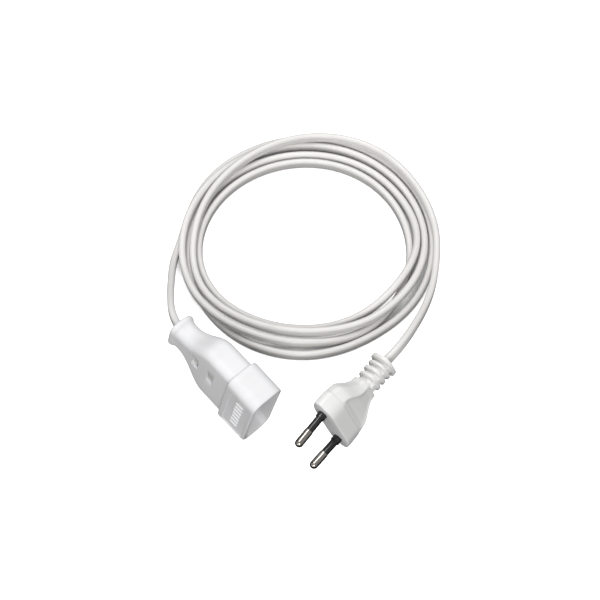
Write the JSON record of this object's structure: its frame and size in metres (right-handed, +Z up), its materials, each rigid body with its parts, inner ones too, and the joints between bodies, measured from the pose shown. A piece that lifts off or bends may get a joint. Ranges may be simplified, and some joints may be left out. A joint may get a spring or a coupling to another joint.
{
  "type": "extension cord",
  "caption": "Flat two-pole mains extension cord: a socket coupler, a ring of flat white cord and a moulded two-pin plug.",
  "frame": {"origin": "on the surface the cord lies on, under the middle of the socket coupler", "axes": "+Z up; the coupler lies along Y with its mouth towards -Y, +X is across its thickness, towards the ring of cord"},
  "size_m": [0.166, 0.1611, 0.0436],
  "materials": {
    "white_shell": "satin",
    "white_insert": "matt",
    "white_sheath": "satin",
    "white_plug": "satin",
    "pin_insulation": "satin",
    "nickel": "satin nickel plate",
    "copper": "bare wire",
    "brown_core": "satin",
    "blue_core": "satin"
  },
  "bodies": {
    "root": {"coupler_shell": "white_shell", "contact_carrier": "white_insert", "carrier_retainer": "white_insert", "contact_brown": "nickel", "contact_blue": "nickel", "coupler_core_brown": "brown_core", "coupler_core_blue": "blue_core", "coupler_core_ends": "copper", "coupler_cord_grip": "white_insert", "coupler_sheath_end": "white_sheath", "cord_coupler_tail": "white_sheath", "cord_coil": "white_sheath", "cord_plug_tail": "white_sheath", "plug_body": "white_plug", "plug_strain_relief": "white_plug", "pin_bridge": "white_insert", "pin_upper": "nickel", "pin_lower": "nickel", "pin_sleeve_upper": "pin_insulation", "pin_sleeve_lower": "pin_insulation", "plug_core_brown": "brown_core", "plug_core_blue": "blue_core", "plug_core_ends": "copper", "plug_sheath_end": "white_sheath"}
  },
  "joints": []
}
